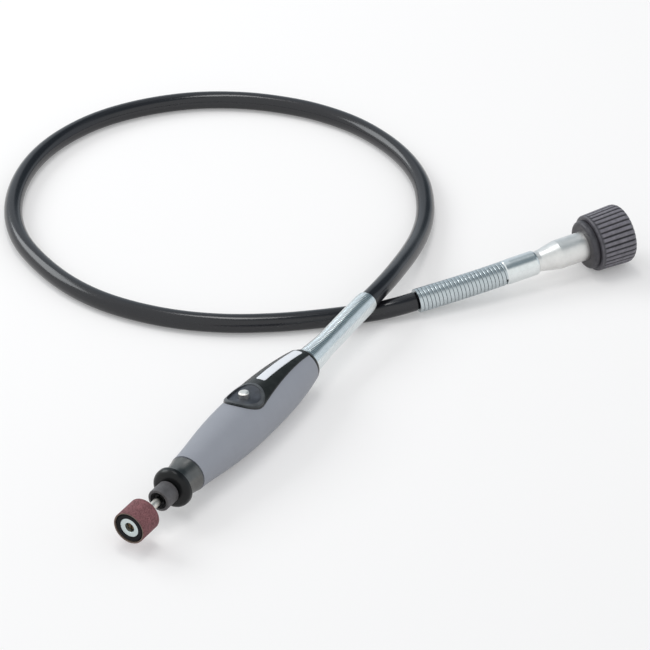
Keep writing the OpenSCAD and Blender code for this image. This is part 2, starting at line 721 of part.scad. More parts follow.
driver_coil = coil_line(driver_path, (driver_spring_d - driver_wire) / 2,
                        (driver_spring_d - driver_wire) / 2, 1, driver_inset, driver_curls);
module handpiece_spring() {
    echo(handpiece_spring_least_gap = coil_gap(hand_coil, hand_wire));
    color("#b7babd") wound(hand_path, hand_coil, hand_wire);
}
module driver_spring() {
    echo(driver_spring_least_gap = coil_gap(driver_coil, driver_wire));
    color("#b7babd") wound(driver_path, driver_coil, driver_wire);
}

// ---- Driver end.
module crimp_sleeve() {
    r = sleeve_d / 2;
    color("#b4b8ba") at_driver() difference() {
        turned([[0, 0], [0, r - 0.35], [0.5, r - 0.1], [3, r], [sleeve_len - 1, r],
                [sleeve_len - 0.4, r - 0.2], [sleeve_len, r - 0.6], [sleeve_len, 0]]);
        disc_x(-1, casing_in_sleeve, casing_d + 2 * run);
        disc_x(-1, sleeve_len + 1, core_d + 2 * 0.4);
    }
}
module end_fitting() {
    r = barrel_d / 2;
    neck_r = fitting_neck_d / 2;
    color("#b4b8ba") at_driver() difference() {
        turned([[sleeve_len, 0], [sleeve_len, neck_r], [cone_x, neck_r], [barrel_x - 0.8, r - 0.2],
                [barrel_x + 0.4, r], [fitting_flange_x, r], [fitting_flange_x, fitting_flange_d / 2],
                [fitting_front_x, fitting_flange_d / 2], [fitting_front_x, 0]]);
        disc_x(sleeve_len - 1, fitting_front_x + 1, core_d + 2 * 0.4);
        disc_x(fitting_front_x - bush_len, fitting_front_x + 1, core_d + 2 * bush_wall);
    }
}
module core_bush() {
    color("#a58043") at_driver()
        tube_x(fitting_front_x - bush_len, fitting_front_x, core_d + 2 * bush_wall, core_d + 2 * run);
}
module core_tip() {
    round_end_x = fitting_front_x + free;
    tip_x = fitting_front_x + tip_out;
    color("#9b9da0") at_driver() union() {
        disc_x(core_tip_x, round_end_x, core_d);
        intersection() {
            disc_x(round_end_x - eps, tip_x, core_d);
            translate([core_tip_x, -tip_square_w / 2, -tip_square_w / 2])
                cube([tip_x - core_tip_x, tip_square_w, tip_square_w]);
        }
    }
}
module coupling_nut() {
    r = coupling_d / 2;
    rear_r = coupling_rear_d / 2;
    collar_r = coupling_collar_d / 2;
    thread_r = thread_d / 2;
    wall_x = coupling_x + coupling_wall;
    nose_r = 3;
    collar_edge = 1.4;
    taper = atan((r - rear_r) / coupling_rib_len);
    color("#211f24") at_driver() difference() {
        turned(concat([[coupling_x, barrel_d / 2 + run]],
                      arc(coupling_x + collar_edge, collar_r - collar_edge, collar_edge, 180, 90, 4),
                      [[rib_x - 0.9, collar_r], [rib_x - 0.4, collar_r - 0.8], [rib_x, collar_r - 0.8],
                       [rib_x, rear_r - 1]],
                      arc(rib_x + 0.8, rear_r - 0.8, 0.8, 180, 90, 3),
                      arc(coupling_front_x - nose_r, r - nose_r, nose_r, 90 - taper, 0, 6),
                      [[coupling_front_x, thread_r + thread_edge], [coupling_front_x - thread_edge, thread_r],
                       [thread_rear_x, thread_r], [thread_rear_x - 0.35, relief_r], [wall_x, relief_r],
                       [wall_x, barrel_d / 2 + run]]));
        for (i = [0:coupling_ribs - 1])
            rotate([360 * i / coupling_ribs, 0, 0]) translate([rib_x, 0, rear_r]) rotate([0, 90 - taper, 0])
                translate([0, 0, 0.8]) cylinder(h = 2 * coupling_rib_len, r = rib_depth);
    }
}

nose_cap();
housing();
grip_sleeve();
top_cover();
lock_button();
lock_spring();
spindle();
outer_race(front_bearing_x);  // front_bearing_outer
inner_race(front_bearing_x);  // front_bearing_inner
balls(front_bearing_x);  // front_bearing_balls
cage(front_bearing_x);  // front_bearing_cage
outer_race(rear_bearing_x);  // rear_bearing_outer
inner_race(rear_bearing_x);  // rear_bearing_inner
balls(rear_bearing_x);  // rear_bearing_balls
cage(rear_bearing_x);  // rear_bearing_cage
preload_washer();
collet();
collet_nut();
mandrel();
rubber_drum();
sanding_band();
drum_washer();
drum_screw();
casing_socket();
core_end();
handpiece_casing();
handpiece_spring();
cable_jacket();
driver_casing();
driver_spring();
crimp_sleeve();
end_fitting();
core_bush();
core_tip();
coupling_nut();
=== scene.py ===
"""Looks of the flexible shaft attachment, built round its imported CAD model.

Lengths are in millimetres until a mesh is made. The handpiece lies along X, at places taken from
the CAD model's boxes. The cable's route leads to the driver end, which has a frame of its own.
"""

import json
import math

import bpy
from mathutils import Matrix, Vector


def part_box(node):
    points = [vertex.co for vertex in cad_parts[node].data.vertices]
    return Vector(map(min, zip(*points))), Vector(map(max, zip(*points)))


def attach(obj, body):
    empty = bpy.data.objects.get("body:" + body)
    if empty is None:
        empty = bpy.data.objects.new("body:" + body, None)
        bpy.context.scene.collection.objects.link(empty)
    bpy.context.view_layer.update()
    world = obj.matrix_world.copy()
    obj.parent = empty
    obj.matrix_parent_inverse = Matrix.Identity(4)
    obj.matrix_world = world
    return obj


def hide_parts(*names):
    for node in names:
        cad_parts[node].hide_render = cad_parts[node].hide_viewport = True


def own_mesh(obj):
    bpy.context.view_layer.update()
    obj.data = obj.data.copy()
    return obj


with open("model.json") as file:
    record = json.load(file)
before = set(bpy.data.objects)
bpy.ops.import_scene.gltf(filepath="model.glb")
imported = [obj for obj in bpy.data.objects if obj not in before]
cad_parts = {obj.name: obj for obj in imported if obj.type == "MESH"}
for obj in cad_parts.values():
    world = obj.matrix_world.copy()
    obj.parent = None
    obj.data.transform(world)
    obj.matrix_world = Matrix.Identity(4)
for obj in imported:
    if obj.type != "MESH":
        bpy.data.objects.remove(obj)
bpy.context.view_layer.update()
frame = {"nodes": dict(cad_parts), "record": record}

MM = 0.001
TAU = 2 * math.pi


# ---- Places taken from the CAD model


def span(node):
    """Lowest and highest corner of a CAD node, in millimetres."""
    low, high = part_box(node)
    return low / MM, high / MM


NOSE_LOW, NOSE_HIGH = span("nose_cap")
GRIP_LOW, GRIP_HIGH = span("grip_sleeve")
NUT_LOW, NUT_HIGH = span("collet_nut")
BAND_LOW, BAND_HIGH = span("sanding_band")
BUTTON_LOW, BUTTON_HIGH = span("lock_button")

AXIS_Z = (NOSE_LOW.z + NOSE_HIGH.z) / 2
NOSE_X = NOSE_LOW.x
GRIP_FRONT_X, GRIP_REAR_X = GRIP_LOW.x, GRIP_HIGH.x
NUT_FRONT_X, NUT_REAR_X = NUT_LOW.x, NUT_HIGH.x
NUT_R = (NUT_HIGH.z - NUT_LOW.z) / 2
BAND_FRONT_X, BAND_REAR_X = BAND_LOW.x, BAND_HIGH.x
BAND_R = (BAND_HIGH.z - BAND_LOW.z) / 2
DISH_X = (BUTTON_LOW.x + BUTTON_HIGH.x) / 2

# The route of the cable, in three stretches, as the CAD model has it.
HAND_PATH = [(66, 0, 11.2), (84, 0, 11.2), (101, 0, 13.2), (118, 0.4, 13.3)]
LOOP_ROUTE = [
    (118, 0.4, 13.3), (127, 0.6, 13.3), (141, 2.4, 12), (155, 5.2, 10), (170, 8.6, 7.8),
    (186, 13.2, 5.6), (201, 18.8, 4.4), (215, 26, 4.1), (230, 36.5, 4.1), (243, 50.5, 4.1),
    (253, 67, 4.1), (260, 86, 4.1), (262.5, 105, 4.1), (261, 124, 4.1), (254.5, 146, 4.1),
    (242, 167, 4.1), (224, 184, 4.1), (203, 195.5, 4.1), (180, 200.5, 4.1), (157, 199.5, 4.1),
    (134, 192.5, 4.1), (113, 180.5, 4.1), (96, 164, 4.1), (83.5, 143, 4.1), (75.5, 121, 4.1),
    (73, 99, 4.1), (76, 75, 4.1), (84, 53, 4.1), (96, 33.5, 4.1), (110, 16.5, 4.1),
    (124, 2, 4.2), (131.6, -5.9, 5.2), (139, -11.9, 6.1),
]
DRIVER_PATH = [(139, -11.9, 6.1), (150, -20.3, 7.2), (161.2, -28.2, 8.3), (172.9, -35.8, 9.4)]
DRIVER_HEADING = -33
DRIVER_SLOPE = 4.5
CABLE_D = 8.2
CASING_D = 6.6

# The cover, dish and button are turned this far round the handpiece from upright.
COVER_ROLL = 6

HAND = Matrix.Translation((0, 0, AXIS_Z))
COVER = HAND @ Matrix.Rotation(math.radians(-COVER_ROLL), 4, "X")
DRIVER = (
    Matrix.Translation(DRIVER_PATH[3])
    @ Matrix.Rotation(math.radians(DRIVER_HEADING), 4, "Z")
    @ Matrix.Rotation(math.radians(-DRIVER_SLOPE), 4, "Y")
)


# ---- Camera, floor and light

PHOTO_SIDE = 650
FOCAL_PIXELS = 3300
SENSOR_WIDTH = 36
VIEW_AZIMUTH = 300.6
VIEW_ELEVATION = 33
VIEW_DISTANCE = 1410.3
VIEW_TARGET = Vector((110.9, 16.9, 0))
# The nearest and farthest that the camera sees, in metres.
NEAREST, FARTHEST = 0.05, 20


def direction(azimuth, elevation):
    """From the object towards a viewer at this azimuth and elevation, in degrees."""
    a, e = math.radians(azimuth), math.radians(elevation)
    return Vector((math.sin(a) * math.cos(e), -math.cos(a) * math.cos(e), math.sin(e)))


def add_camera():
    data = bpy.data.cameras.new("camera")
    data.sensor_width = SENSOR_WIDTH
    data.lens = data.sensor_width * FOCAL_PIXELS / PHOTO_SIDE
    data.clip_start, data.clip_end = NEAREST, FARTHEST
    camera = bpy.data.objects.new("camera", data)
    back = direction(VIEW_AZIMUTH, VIEW_ELEVATION)
    camera.location = (VIEW_TARGET + back * VIEW_DISTANCE) * MM
    camera.rotation_mode = "QUATERNION"
    camera.rotation_quaternion = (-back).to_track_quat("-Z", "Y")
    bpy.context.scene.collection.objects.link(camera)
    bpy.context.scene.camera = camera


class Nodes:
    """A short way to make and join the nodes of a material or world."""

    def __init__(self, owner):
        owner.use_nodes = True
        self.tree = owner.node_tree
        self.tree.nodes.clear()

    def add(self, kind, **settings):
        node = self.tree.nodes.new(kind)
        for key, value in settings.items():
            setattr(node, key, value)
        return node

    def join(self, source, target):
        self.tree.links.new(source, target)

    def fill(self, socket, value):
        """Joins a socket to another, or sets it to a number or colour."""
        if isinstance(value, bpy.types.NodeSocket):
            self.join(value, socket)
        else:
            socket.default_value = value

    def math(self, operation, a, b=0.0, c=0.0):
        node = self.add("ShaderNodeMath", operation=operation)
        for socket, value in zip(node.inputs, (a, b, c)):
            self.fill(socket, value)
        return node.outputs[0]

    def vector(self, operation, a, b=(0, 0, 0)):
        node = self.add("ShaderNodeVectorMath", operation=operation)
        self.fill(node.inputs[0], a)
        self.fill(node.inputs[1], b)
        return node.outputs["Value" if operation in ("DOT_PRODUCT", "LENGTH") else "Vector"]

    def mix(self, share, a, b, blend="MIX"):
        node = self.add("ShaderNodeMix", data_type="RGBA", blend_type=blend)
        self.fill(node.inputs["Factor"], share)
        self.fill(node.inputs["A"], a)
        self.fill(node.inputs["B"], b)
        return node.outputs["Result"]

    def ramp(self, value, stops):
        """stops are (position, colour or grey)."""
        node = self.add("ShaderNodeValToRGB")
        points = node.color_ramp.elements
        while len(points) < len(stops):
            points.new(0.5)
        for point, (position, shade) in zip(points, stops):
            point.position = position
            point.color = (*shade, 1) if hasattr(shade, "__len__") else (shade, shade, shade, 1)
        self.join(value, node.inputs[0])
        return node.outputs["Color"]

    def noise(self, size_mm, detail, rough=0.55):
        """Noise whose features are about size_mm across, in the row frame."""
        node = self.add("ShaderNodeTexNoise")
        node.inputs["Scale"].default_value = 1 / (size_mm * MM)
        node.inputs["Detail"].default_value = detail
        node.inputs["Roughness"].default_value = rough
        self.join(self.place(), node.inputs["Vector"])
        return node.outputs["Fac"]

    def place(self):
        return self.add("ShaderNodeTexCoord").outputs["Object"]

    def finish_and_shade(self):
        """A mesh's mark at each of its points: on some meshes a second finish, on others dust and
        painted shade.
        """
        return self.add("ShaderNodeAttribute", attribute_name="finish_and_shade").outputs["Fac"]

    def bump(self, height, depth_mm, shader):
        node = self.add("ShaderNodeBump")
        node.inputs["Distance"].default_value = depth_mm * MM
        self.join(height, node.inputs["Height"])
        self.join(node.outputs[0], shader.inputs["Normal"])

    def show(self, shader, output="ShaderNodeOutputMaterial"):
        self.join(shader.outputs[0], self.add(output).inputs["Surface"])


FLOOR_SIDE = 6.0
FLOOR_COLOUR = (0.775, 0.755, 0.74, 1)
FLOOR_LIFT = 0.2
# The sky's light on diffuse surfaces, on its dim and on its bright side, and how near the bright
# way each is reached, from 0 to 1.
SKY_LIGHT = (0.43, 0.88)
SKY_SPREAD = (0.3, 0.95)
SKY_BRIGHT = Vector((-0.3, -0.8, 0.52))
SKY_TINT = (0.93, 0.965, 1.0, 1)
# The room in shiny surfaces, dimmer towards +X: how far that way, from 0 to 1, and its colour.
ROOM = [(0.45, (0.96, 0.98, 0.98)), (0.8, (0.7, 0.77, 0.83))]
# Dark cards: the way to each, the cosines where it begins and where it is full, and its colour.
CARDS = [
    (Vector((0.8, -0.02, 0.6)), 0.88, 0.945, (0.09, 0.135, 0.16, 1)),
    (Vector((0.138, -0.295, 0.946)), 0.85, 0.965, (0.18, 0.23, 0.26, 1)),
]
# Lamps: name, azimuth, elevation, distance, width and height in metres, watts and colour.
LAMPS = [
    ("key", 182, 33, 1.6, 1.1, 0.75, 10, (0.94, 0.975, 1.0)),
    ("top", 152, 82, 1.5, 0.27, 0.66, 3.7, (1, 1, 1)),
]


def add_floor():
    """A wide white sheet, a little brighter to the camera and in shine than it is lit."""
    half = FLOOR_SIDE / 2
    mesh = bpy.data.meshes.new("floor")
    corners = [(-half, -half, 0), (half, -half, 0), (half, half, 0), (-half, half, 0)]
    mesh.from_pydata(corners, [], [(0, 1, 2, 3)])
    floor = bpy.data.objects.new("floor", mesh)
    bpy.context.scene.collection.objects.link(floor)
    material = bpy.data.materials.new("floor")
    n = Nodes(material)
    surface = n.add("ShaderNodeBsdfDiffuse")
    surface.inputs["Color"].default_value = FLOOR_COLOUR
    path = n.add("ShaderNodeLightPath")
    seen = n.math("MAXIMUM", path.outputs["Is Camera Ray"], path.outputs["Is Glossy Ray"])
    seen = n.math("MAXIMUM", seen, path.outputs["Is Transmission Ray"])
    glow = n.add("ShaderNodeEmission")
    n.join(n.math("MULTIPLY", seen, FLOOR_LIFT), glow.inputs["Strength"])
    both = n.add("ShaderNodeAddShader")
    n.join(surface.outputs[0], both.inputs[0])
    n.join(glow.outputs[0], both.inputs[1])
    n.show(both)
    mesh.materials.append(material)


def nearness(n, towards, way):
    """1 along a way, 0.5 across it and 0 against it."""
    return n.math("MULTIPLY_ADD", n.vector("DOT_PRODUCT", towards, way), 0.5, 0.5)


def add_world():
    """White to the camera, a soft sky to diffuse surfaces, a room with dark cards to shiny ones."""
    world = bpy.data.worlds.new("studio")
    bpy.context.scene.world = world
    n = Nodes(world)
    towards = n.add("ShaderNodeTexCoord").outputs["Generated"]
    studio = n.ramp(nearness(n, towards, (1, 0, 0)), ROOM)
    for middle, begins, full, colour in CARDS:
        cosine = n.vector("DOT_PRODUCT", towards, middle.normalized())
        studio = n.mix(n.ramp(cosine, [(begins, 0.0), (full, 1.0)]), studio, colour)
    path = n.add("ShaderNodeLightPath")
    shown = n.mix(path.outputs["Is Glossy Ray"], SKY_TINT, studio)
    shown = n.mix(path.outputs["Is Camera Ray"], shown, (1, 1, 1, 1))
    full_strength = n.math("MAXIMUM", path.outputs["Is Camera Ray"], path.outputs["Is Glossy Ray"])
    sky = n.ramp(nearness(n, towards, SKY_BRIGHT.normalized()), list(zip(SKY_SPREAD, SKY_LIGHT)))
    background = n.add("ShaderNodeBackground")
    n.join(shown, background.inputs["Color"])
    n.join(n.math("MAXIMUM", full_strength, sky), background.inputs["Strength"])
    n.show(background, "ShaderNodeOutputWorld")


def add_light(name, azimuth, elevation, distance, width, height, power, colour):
    data = bpy.data.lights.new(name, "AREA")
    data.shape = "RECTANGLE"
    data.size, data.size_y = width, height
    data.energy = power
    data.color = colour
    light = bpy.data.objects.new(name, data)
    back = direction(azimuth, elevation)
    light.location = VIEW_TARGET * MM + back * distance
    light.rotation_mode = "QUATERNION"
    light.rotation_quaternion = back.to_track_quat("Z", "Y")
    bpy.context.scene.collection.objects.link(light)


def add_studio():
    scene = bpy.context.scene
    scene.view_settings.view_transform = "Standard"
    add_camera()
    add_floor()
    add_world()
    for lamp in LAMPS:
        add_light(*lamp)


# ---- Materials

MATERIALS = {}
BLACK = (0.011, 0.012, 0.0125)


def material(name, colour, roughness, metallic=0.0, grain=None, mottle=None, **inputs):
    """A Principled material. grain is (size_mm, depth_mm) of a bump, mottle (size_mm, share) of a
    change in lightness and roughness."""
    made = bpy.data.materials.new(name)
    n = Nodes(made)
    shader = n.add("ShaderNodeBsdfPrincipled")
    shader.inputs["Base Color"].default_value = (*colour, 1)
    shader.inputs["Roughness"].default_value = roughness
    shader.inputs["Metallic"].default_value = metallic
    for key, value in inputs.items():
        shader.inputs[key.replace("_", " ")].default_value = value
    if mottle:
        size, share = mottle
        shade = n.noise(size, 4)
        low = (*(c * (1 - share) for c in colour), 1)
        high = (*(min(1, c * (1 + share)) for c in colour), 1)
        n.join(n.mix(shade, low, high), shader.inputs["Base Color"])
        spread = n.math("MULTIPLY_ADD", shade, 2 * share * roughness, roughness * (1 - share))
        n.join(spread, shader.inputs["Roughness"])
    if grain:
        size, depth = grain
        n.bump(n.noise(size, 2), depth, shader)
    n.show(shader)
    MATERIALS[name] = made
    return n, shader


def shaded(n, shader, stops, value, spread=0.12, size=3):
    """Colours a material by a value, with a little noise in its lightness."""
    shade = n.ramp(n.noise(size, 4), [(0.3, 1 - spread), (0.7, 1 + spread)])
    n.join(n.mix(1.0, n.ramp(value, stops), shade, "MULTIPLY"), shader.inputs["Base Color"])


def cover_plastic():
    """Black moulding whose thumb dish is a duller blue grey, with a painted highlight along its
    rim.
    """
    n, shader = material("cover_plastic", BLACK, 0.26, grain=(0.5, 0.006), Specular_IOR_Level=0.3)
    up = COVER.to_3x3() @ Vector((0, 0, 1))
    centre = COVER @ Vector((DISH_X, 0, 0)) * MM
    away = n.vector("CROSS_PRODUCT", n.vector("SUBTRACT", n.place(), centre), up)
    centimetres = n.math("DIVIDE", n.vector("LENGTH", away), 10 * MM)
    # The paler ring at the dish's rim is a painted highlight.
    dish, rim, top = (0.048, 0.054, 0.066), (0.085, 0.09, 0.095), (0.019, 0.021, 0.02)
    stops = [(0.0, dish), (0.66, dish), (0.72, rim), (0.8, rim), (0.86, top)]
    shaded(n, shader, stops, centimetres, 0.25)
    n.join(n.ramp(centimetres, [(0.66, 0.5), (0.86, 0.26)]), shader.inputs["Roughness"])


def nut_steel():
    """Grey blackened steel, black inside the mouth with painted shade, where the mesh's mark is 1.
    """
    n, shader = material("nut_steel", (0.1, 0.1, 0.108), 0.5, 0.25, grain=(0.2, 0.003))
    finish_and_shade = n.finish_and_shade()
    # The mouth colour is painted shade, the black of the nut's hollow mouth.
    outside, mouth = (0.105, 0.1, 0.103), (0.006, 0.006, 0.007)
    shaded(n, shader, [(0.0, outside), (0.5, mouth)], finish_and_shade, size=1.5)
    n.join(n.ramp(finish_and_shade, [(0.0, 0.5), (0.5, 0.75)]), shader.inputs["Roughness"])


def shank_steel():
    """Steel of the mandrel, with a band of painted shade where it goes into the nut. Depth runs
    from 0 to 1 over a length of the shank, and equals edge at the nut's front."""
    steel, nut_shade = (0.8, 0.76, 0.7), (0.05, 0.05, 0.05)
    length, edge = 8, 0.25
    n, shader = material("shank_steel", steel, 0.4, 1.0, grain=(0.15, 0.002))
    x = n.vector("DOT_PRODUCT", n.place(), (1, 0, 0))
    depth = n.math("MULTIPLY_ADD", x, 1 / (length * MM), edge - NUT_FRONT_X / length)
    # The dark band is painted shade, the nut mouth's shadow on the shank.
    shaded(n, shader, [(0.06, steel), (0.22, nut_shade), (0.6, nut_shade), (0.8, steel)], depth, size=1)


def nose_finish():
    """Black moulding in front, and a gunmetal neck and rim edge, where the mesh's mark is 1."""
    n, shader = material("nose_finish", BLACK, 0.28, grain=(0.4, 0.004), Specular_IOR_Level=0.25)
    finish_and_shade = n.finish_and_shade()
    moulding, gunmetal = (0.007, 0.0075, 0.008), (0.14, 0.14, 0.136)
    shaded(n, shader, [(0.4, moulding), (0.6, gunmetal)], finish_and_shade, size=2)
    n.join(n.ramp(finish_and_shade, [(0.4, 0.0), (0.6, 1.0)]), shader.inputs["Metallic"])


def knob_plastic():
    """Black plastic: dust and painted sheen on the rib tops, painted shade down in the grooves."""
    n, shader = material("knob_plastic", BLACK, 0.42, grain=(0.25, 0.008), Specular_IOR_Level=0.4)
    # The first colour is painted shade in the grooves, gap and bore; the last is dust with a
    # painted sheen on the rib tops.
    groove_shade, handled, dust_and_sheen = (0.034, 0.031, 0.036), (0.054, 0.052, 0.059), (0.175, 0.165, 0.186)
    shaded(n, shader, [(0.0, groove_shade), (0.4, handled), (1, dust_and_sheen)], n.finish_and_shade(), spread=0.22, size=2)


def make_materials():
    """Every look: those of the CAD nodes' slots, and the more particular ones."""
    material("oiled_steel", (0.012, 0.012, 0.013), 0.6, 0.3, grain=(0.2, 0.003), mottle=(1, 0.2))
    nose_finish()
    material("barrel_steel", (0.76, 0.755, 0.74), 0.42, 1.0, grain=(0.2, 0.003), mottle=(2.5, 0.12))
    material("sleeve_steel", (0.76, 0.79, 0.79), 0.24, 1.0, grain=(0.2, 0.001), mottle=(2, 0.1))
    shank_steel()
    material("button_steel", (0.86, 0.83, 0.78), 0.3, 1.0, grain=(0.15, 0.002), mottle=(1, 0.15))
    material("dull_brass", (0.15, 0.105, 0.06), 0.5, 1.0, grain=(0.15, 0.004), mottle=(0.7, 0.25))
    cover_plastic()
    knob_plastic()
    material("grip_grey", (0.30, 0.31, 0.345), 0.5, grain=(0.35, 0.02), mottle=(9, 0.05))
    material("black_plastic", (0.014, 0.014, 0.016), 0.3, grain=(0.5, 0.006), mottle=(6, 0.12))
    material("dark_plastic", (0.035, 0.037, 0.04), 0.5, grain=(0.4, 0.01), mottle=(8, 0.1))
    material("polished_steel", (0.80, 0.80, 0.78), 0.16, 1.0, grain=(0.2, 0.001), mottle=(2, 0.1))
    material("spring_steel", (0.74, 0.78, 0.79), 0.2, 1.0, grain=(0.15, 0.002), mottle=(1.5, 0.14))
    material("dull_spring", (0.53, 0.58, 0.6), 0.31, 1.0, grain=(0.15, 0.002), mottle=(1.5, 0.16))
    material("turned_steel", (0.62, 0.62, 0.63), 0.28, 1.0, grain=(0.15, 0.002), mottle=(2, 0.12))
    material("bearing_steel", (0.6, 0.61, 0.62), 0.25, 1.0, grain=(0.2, 0.001), mottle=(2, 0.1))
    nut_steel()
    material("brass", (0.62, 0.44, 0.2), 0.3, 1.0, grain=(0.2, 0.002), mottle=(1, 0.14))
    material("drum_rubber", (0.006, 0.006, 0.007), 0.7, grain=(0.3, 0.01), mottle=(2, 0.15),
             Specular_IOR_Level=0.2)
    material("zinc_plate", (0.58, 0.645, 0.64), 0.4, 1.0, grain=(0.3, 0.003), mottle=(1, 0.1))
    material("core_steel", (0.4, 0.41, 0.42), 0.35, 1.0, grain=(0.2, 0.004), mottle=(1, 0.15))
    material("casing_steel", (0.1, 0.1, 0.11), 0.5, 0.4, grain=(0.3, 0.006), mottle=(1, 0.15))
    material("jacket_rubber", (0.013, 0.013, 0.016), 0.18, grain=(0.4, 0.004), mottle=(5, 0.12))
    material("label_white", (0.82, 0.83, 0.86), 0.35, grain=(0.3, 0.002), mottle=(3, 0.03))
    abrasive()


def abrasive():
    """Red-brown grit glued to cloth: dark gaps, paler grains, a rough surface. The cloth's cut ends
    are tan, where the mesh's mark is 1."""
    pale, red, gap = (0.4, 0.17, 0.175), (0.23, 0.088, 0.096), (0.085, 0.03, 0.034)
    cloth = (0.2, 0.15, 0.12, 1)
    grain_size, grain_height = 0.32, 0.08
    n, shader = material("abrasive", red, 0.8)
    cells = n.add("ShaderNodeTexVoronoi")
    cells.inputs["Scale"].default_value = 1 / (grain_size * MM)
    n.join(n.place(), cells.inputs["Vector"])
    grains = n.ramp(cells.outputs["Distance"], [(0.0, pale), (0.45, red), (0.8, gap)])
    grains = n.mix(n.ramp(n.finish_and_shade(), [(0.4, 0.0), (0.6, 1.0)]), grains, cloth)
    worn = n.ramp(n.noise(2.2, 4), [(0.35, 0.8), (0.7, 1.15)])
    n.join(n.mix(1.0, grains, worn, "MULTIPLY"), shader.inputs["Base Color"])
    n.bump(n.math("SUBTRACT", 1.0, cells.outputs["Distance"]), grain_height, shader)


# ---- Meshes


def piece(name, points, faces, body, look, replaces=(), slot=None, crease=40, marks=None):
    """One mesh from points in millimetres in the row frame, riding on a CAD body. marks gives each
    point's mark, which its material reads as a second finish, as dust or as painted shade."""
    mesh = bpy.data.meshes.new(name)
    mesh.from_pydata([tuple(Vector(p) * MM) for p in points], [], faces)
    if marks:
        mesh.attributes.new("finish_and_shade", "FLOAT", "POINT").data.foreach_set("value", marks)
    mesh.validate()
    mesh.shade_smooth()
    mesh.set_sharp_from_angle(angle=math.radians(crease))
    mesh.materials.append(MATERIALS[look])
    made = bpy.data.objects.new(name, mesh)
    bpy.context.scene.collection.objects.link(made)
    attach(made, body)
    if replaces:
        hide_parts(*replaces)
    return made


def grid_faces(rows, columns, wrap_rows=False, wrap_columns=False):
    """Quads of a grid of points, row after row."""
    faces = []
    for i in range(rows if wrap_rows else rows - 1):
        for j in range(columns if wrap_columns else columns - 1):
            here, below = i * columns, (i + 1) % rows * columns
            right = (j + 1) % columns
            faces.append((here + j, here + right, below + right, below + j))
    return faces


def tube_faces(rings, sides):
    """Faces of a row of rings, with a cap on both ends."""
    last = (rings - 1) * sides
    caps = [tuple(reversed(range(sides))), tuple(range(last, last + sides))]
    return grid_faces(rings, sides, False, True) + caps


def rounded(outline, steps=5):
    """Corners (x, r) or (x, r, fillet) of a closed outline, with each fillet as a short curve."""
    points = []
    for i, corner in enumerate(outline):
        here = Vector(corner[:2])
        fillet = corner[2] if len(corner) > 2 else 0
        if not fillet:
            points.append(here)
            continue
        back = Vector(outline[i - 1][:2]) - here
        ahead = Vector(outline[(i + 1) % len(outline)][:2]) - here
        reach = fillet / math.tan(back.angle(ahead) / 2)
        start = here + back.normalized() * min(reach, 0.49 * back.length)
        end = here + ahead.normalized() * min(reach, 0.49 * ahead.length)
        for k in range(steps + 1):
            t = k / steps
            points.append(start * (1 - t) ** 2 + here * 2 * t * (1 - t) + end * t * t)
    return points


def turned(name, outline, body, look, sides, finish_and_shade=None, **more):
    """A closed outline of (x, r) turned about the handpiece's axis. The mark function, if given,
    gives the mark at (x, r): a second finish, dust or painted shade."""
    ring = rounded(outline)
    points = []
    for p in ring:
        for k in range(sides):
            angle = TAU * k / sides
            points.append(HAND @ Vector((p.x, p.y * math.cos(angle), p.y * math.sin(angle))))
    if finish_and_shade:
        more["marks"] = [finish_and_shade(p.x, p.y) for p in ring for _ in range(sides)]
    return piece(name, points, grid_faces(len(ring), sides, True, True), body, look, **more)


def bezier(path, u):
    """A point of a cubic curve."""
    a, b, c, d = (Vector(p) for p in path)
    return a * (1 - u) ** 3 + b * 3 * u * (1 - u) ** 2 + c * 3 * u * u * (1 - u) + d * u**3


def smooth(points, steps):
    """A smooth curve through points, with steps points to each stretch."""
    points = [Vector(p) for p in points]
    made = []
    for i in range(len(points) - 1):
        a, b = points[max(i - 1, 0)], points[i]
        c, d = points[i + 1], points[min(i + 2, len(points) - 1)]
        for k in range(steps):
            u = k / steps
            made.append(0.5 * (2 * b + (c - a) * u + (2 * a - 5 * b + 4 * c - d) * u * u
                               + (3 * b - a - 3 * c + d) * u**3))
    return made + [points[-1]]


def frames(line):
    """(point, side, up) along a line, turning as little as possible."""
    made = []
    side = None
    for i, p in enumerate(line):
        heading = (line[min(i + 1, len(line) - 1)] - line[max(i - 1, 0)]).normalized()
        if side is None:
            side = Vector((0, 0, 1)).cross(heading)
        side = (side - heading * side.dot(heading)).normalized()
        made.append((p, side, heading.cross(side)))
    return made


def tube(name, line, radius, body, look, sides, **more):
    """A closed tube along a line. radius(i) is its radius at point i of the line."""
    points = []
    for i, (p, side, up) in enumerate(frames(line)):
        r = radius(i)
        for k in range(sides):
            angle = TAU * k / sides
            points.append(p + side * r * math.cos(angle) + up * r * math.sin(angle))
    return piece(name, points, tube_faces(len(line), sides), body, look, **more)


def wire_section(wire, corner, sides):
    """(outwards, along) of points round a wire of (width, depth). corner makes it round at 1 and
    square towards 0."""
    width, depth = wire
    made = []
    for k in range(sides):
        a = TAU * (k + 0.5) / sides
        c, s = math.cos(a), math.sin(a)
        outwards = math.copysign(abs(c) ** corner, c) * depth / 2
        made.append((outwards, math.copysign(abs(s) ** corner, s) * width / 2))
    return made


# A spring's ground ends stop this far short of the ends of its path.
END_GAP = 0.05


